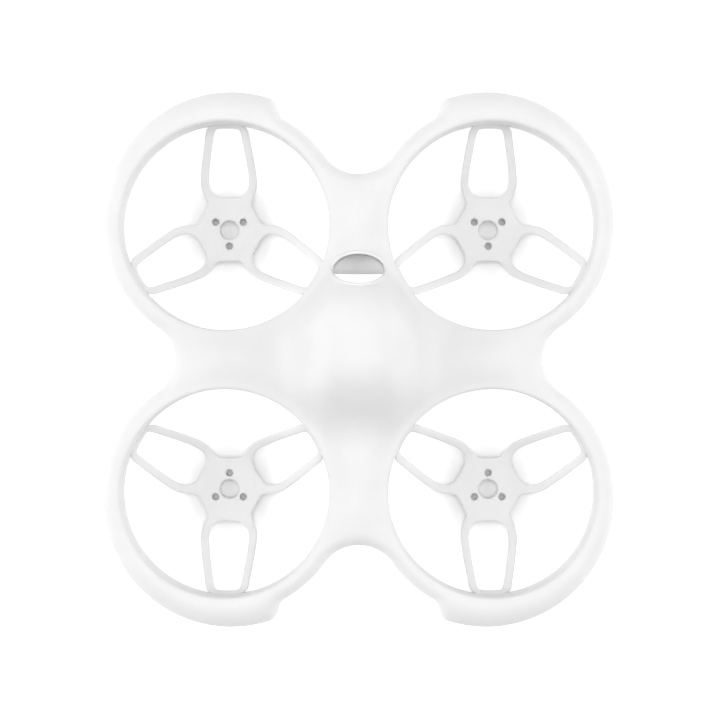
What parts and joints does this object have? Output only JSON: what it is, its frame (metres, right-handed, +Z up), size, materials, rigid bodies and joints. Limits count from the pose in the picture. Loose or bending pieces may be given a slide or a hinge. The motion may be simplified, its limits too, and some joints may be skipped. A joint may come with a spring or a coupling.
{
  "type": "fpv quadcopter airframe",
  "caption": "Bare ducted quadcopter airframe: smooth white canopy shell over duct rings with three-armed motor mounts, belly battery bay and flight controller inside.",
  "frame": {"origin": "middle of the airframe, on the face of the motor mounts that it stands on", "axes": "+Y towards the nose, +X towards the right side, +Z up through the canopy's crown"},
  "size_m": [0.1026, 0.1078, 0.0317],
  "materials": {
    "shell_plastic": "satin white moulded plastic",
    "frame_plastic": "satin white moulded plastic",
    "cradle_plastic": "matt light grey",
    "screw_steel": "black oxide",
    "circuit_board": "solder mask",
    "grommet_rubber": "soft silicone",
    "chip_black": "moulded epoxy",
    "sensor_cans": "satin",
    "antenna_ceramic": "fired ceramic",
    "plated_metal": "nickel plate",
    "socket_nylon": "natural nylon",
    "lead_silicone": "soft silicone",
    "cell_pouch": "laminated foil",
    "pad_foam": "closed-cell foam",
    "light_epoxy": "clear epoxy"
  },
  "bodies": {
    "airframe": {"canopy_shell": "shell_plastic", "duct_front_left": "frame_plastic", "duct_front_right": "frame_plastic", "duct_rear_left": "frame_plastic", "duct_rear_right": "frame_plastic", "cross_frame": "frame_plastic", "nose_scoop": "frame_plastic", "shell_screws": "screw_steel", "camera_bracket": "frame_plastic", "cradle_screws": "screw_steel", "controller_board": "circuit_board", "board_grommets": "grommet_rubber", "board_screws": "screw_steel", "processor": "chip_black", "motor_drivers": "chip_black", "board_sensors": "sensor_cans", "chip_antenna": "antenna_ceramic", "usb_port": "plated_metal", "motor_sockets": "socket_nylon", "power_socket": "socket_nylon", "battery_plug": "socket_nylon", "battery_leads": "lead_silicone", "battery_cells": "cell_pouch", "battery_board": "circuit_board", "battery_pad": "pad_foam", "button_case": "plated_metal", "status_lights": "light_epoxy", "hatch_pin": "plated_metal"},
    "cradle": {"camera_cradle": "cradle_plastic"},
    "button": {"bind_button": "chip_black"},
    "hatch": {"battery_hatch": "frame_plastic"}
  },
  "joints": [
    {"name": "cradle_tilt", "type": "hinge", "parent": "airframe", "child": "cradle", "pos_m": [0, 0.0116, 0.017], "axis": [1, 0, 0], "range_deg": [-10, 20]},
    {"name": "button_press", "type": "slide", "parent": "airframe", "child": "button", "axis": [0, 0, -1], "range_m": [0, 0.00025], "stiffness_N_per_m": 60},
    {"name": "hatch_swing", "type": "hinge", "parent": "airframe", "child": "hatch", "pos_m": [0, -0.0155, 0.0013], "axis": [1, 0, 0], "range_deg": [-100, 0]}
  ]
}
